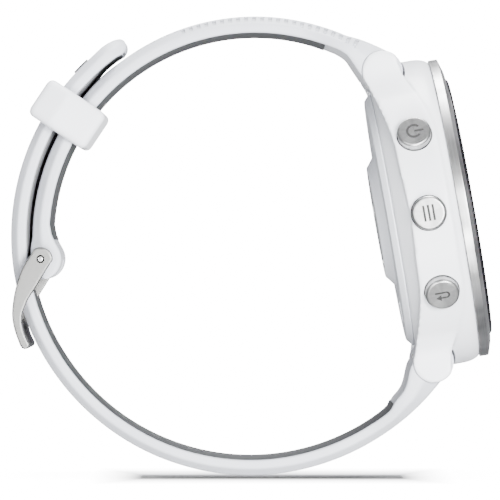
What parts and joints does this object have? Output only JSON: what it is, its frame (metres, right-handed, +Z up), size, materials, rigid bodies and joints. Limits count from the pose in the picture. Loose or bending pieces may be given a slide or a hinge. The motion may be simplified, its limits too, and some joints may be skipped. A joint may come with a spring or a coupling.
{
  "type": "gps running watch",
  "caption": "Round sports watch on a buckled silicone strap, with press buttons, a lifting buckle, a sliding keeper and quick-release strap bars.",
  "frame": {"origin": "bottom centre of the box around the watch, under the lowest point of the strap's outer face", "axes": "+X from the buckle to the dial, +Y across the strap towards three o'clock, +Z up towards the twelve o'clock strap half"},
  "size_m": [0.0751, 0.05, 0.0713],
  "materials": {
    "white_polymer": "smooth satin",
    "back_polymer": "satin",
    "bezel_metal": "brushed",
    "lens_glass": "clear over black",
    "display_black": "gloss",
    "black_rubber": "matte",
    "chassis_plastic": "matte",
    "board_green": "semi-gloss",
    "chip_black": "matte",
    "flex_amber": "satin",
    "gold": "polished",
    "battery_foil": "satin foil",
    "steel": "brushed",
    "button_metal": "brushed in circles",
    "strap_silicone": "satin",
    "liner_silicone": "satin",
    "buckle_metal": "bead-blasted, bright edges"
  },
  "bodies": {
    "watch": {"case": "white_polymer", "bezel": "bezel_metal", "lens": "lens_glass", "lens_gasket": "black_rubber", "display_panel": "display_black", "display_flex": "flex_amber", "chassis": "chassis_plastic", "main_board": "board_green", "board_chips": "chip_black", "gps_antenna": "gold", "battery": "battery_foil", "vibration_motor": "steel", "back_gasket": "black_rubber", "back_cover": "back_polymer", "back_screws": "steel", "sensor_board": "board_green", "sensor_lights": "gold", "sensor_window": "display_black", "charging_contacts": "gold", "button_bushings": "steel", "button_seals": "black_rubber", "button_switches": "steel", "upper_strap": "strap_silicone", "upper_strap_liner": "liner_silicone", "lower_strap": "strap_silicone", "lower_strap_liner": "liner_silicone", "tail_plate": "liner_silicone", "upper_spring_bar": "steel", "lower_spring_bar": "steel", "buckle_pin": "steel"},
    "light_press": {"light_button": "button_metal", "light_button_clip": "steel"},
    "menu_press": {"menu_button": "button_metal", "menu_button_clip": "steel"},
    "down_press": {"down_button": "button_metal", "down_button_clip": "steel"},
    "start_press": {"start_button": "button_metal", "start_button_clip": "steel"},
    "lap_press": {"lap_button": "button_metal", "lap_button_clip": "steel"},
    "upper_release": {"upper_release_pin": "steel"},
    "lower_release": {"lower_release_pin": "steel"},
    "buckle": {"buckle_frame": "buckle_metal"},
    "tongue": {"buckle_tongue": "buckle_metal"},
    "keeper_loop": {"keeper": "strap_silicone"}
  },
  "joints": [
    {"name": "light_button_press", "type": "slide", "parent": "watch", "child": "light_press", "axis": [0.0868, 0.866, -0.4924], "range_m": [0, 0.00045], "stiffness_N_per_m": 4000, "springref_m": -0.0003},
    {"name": "menu_button_press", "type": "slide", "parent": "watch", "child": "menu_press", "axis": [0, 1, 0], "range_m": [0, 0.00045], "stiffness_N_per_m": 4000, "springref_m": -0.0003},
    {"name": "down_button_press", "type": "slide", "parent": "watch", "child": "down_press", "axis": [-0.0868, 0.866, 0.4924], "range_m": [0, 0.00045], "stiffness_N_per_m": 4000, "springref_m": -0.0003},
    {"name": "start_button_press", "type": "slide", "parent": "watch", "child": "start_press", "axis": [0.0868, -0.866, -0.4924], "range_m": [0, 0.00045], "stiffness_N_per_m": 4000, "springref_m": -0.0003},
    {"name": "lap_button_press", "type": "slide", "parent": "watch", "child": "lap_press", "axis": [-0.0868, -0.866, 0.4924], "range_m": [0, 0.00045], "stiffness_N_per_m": 4000, "springref_m": -0.0003},
    {"name": "upper_release_slide", "type": "slide", "parent": "watch", "child": "upper_release", "axis": [0, 1, 0], "range_m": [0, 0.0012], "stiffness_N_per_m": 1500, "springref_m": -0.0006},
    {"name": "lower_release_slide", "type": "slide", "parent": "watch", "child": "lower_release", "axis": [0, 1, 0], "range_m": [0, 0.0012], "stiffness_N_per_m": 1500, "springref_m": -0.0006},
    {"name": "buckle_hinge", "type": "hinge", "parent": "watch", "child": "buckle", "pos_m": [-0.0328, 0.00065, 0.03363], "axis": [0, 1, 0], "range_deg": [0, 8]},
    {"name": "tongue_hinge", "type": "hinge", "parent": "watch", "child": "tongue", "pos_m": [-0.0328, 0.00065, 0.03363], "axis": [0, 1, 0], "range_deg": [0, 8]},
    {"name": "keeper_slide", "type": "hinge", "parent": "watch", "child": "keeper_loop", "pos_m": [-0.00035, 0.00065, 0.0372], "axis": [0, 1, 0], "range_deg": [-14, 8]}
  ],
  "couplings": [
    {"joint": "tongue_hinge", "follows": "buckle_hinge", "ratio": 1}
  ]
}
